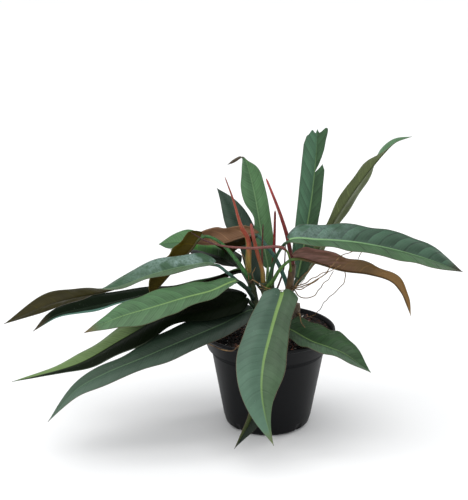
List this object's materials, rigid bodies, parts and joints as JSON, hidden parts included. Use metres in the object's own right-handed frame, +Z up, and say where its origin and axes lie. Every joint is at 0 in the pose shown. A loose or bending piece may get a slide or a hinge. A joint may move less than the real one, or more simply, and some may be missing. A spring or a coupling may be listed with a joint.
{
  "type": "potted philodendron bicolor",
  "caption": "Bushy potted house plant with long lance-shaped leaves, dark green above and red-brown below, red sheaths and aerial roots, in a black plastic nursery pot.",
  "frame": {"origin": "centre of the pot's flat base, on the surface that it stands on", "axes": "+Z up; the plant's front faces -Y; +X to the right, along its longest extent"},
  "size_m": [0.6426, 0.319, 0.4225],
  "materials": {
    "pot": "satin black",
    "soil": "loose and matte",
    "leaf": "satin, dark green above and red-brown below",
    "stem": "smooth green",
    "sheath": "smooth red",
    "root": "matte brown",
    "bark": "dry and matte"
  },
  "bodies": {
    "root": {"pot": "pot", "soil": "soil", "stem_stub": "bark", "leaf_left_upper": "leaf", "leaf_left_shaded": "leaf", "leaf_left_bright": "leaf", "leaf_left_pale_edge": "leaf", "leaf_left_low": "leaf", "leaf_left_hanging": "leaf", "leaf_back_left": "leaf", "leaf_left_inner": "leaf", "leaf_back_blue": "leaf", "leaf_bent_tip": "leaf", "leaf_torn": "leaf", "leaf_twisted_right": "leaf", "leaf_right_long": "leaf", "leaf_right_brown": "leaf", "leaf_front": "leaf", "leaf_front_hidden": "leaf", "leaf_right_low": "leaf", "stem_left": "stem", "stem_middle": "stem", "stem_back": "stem", "stem_right": "stem", "sheath_left_tall": "sheath", "sheath_middle": "sheath", "sheath_middle_thin": "sheath", "sheath_back": "sheath", "sheath_right_tall": "sheath", "sheath_right_thin": "sheath", "shoot_across": "sheath", "roots_right": "root", "roots_crown": "root", "roots_low": "root", "root_over_rim": "root"}
  },
  "joints": []
}
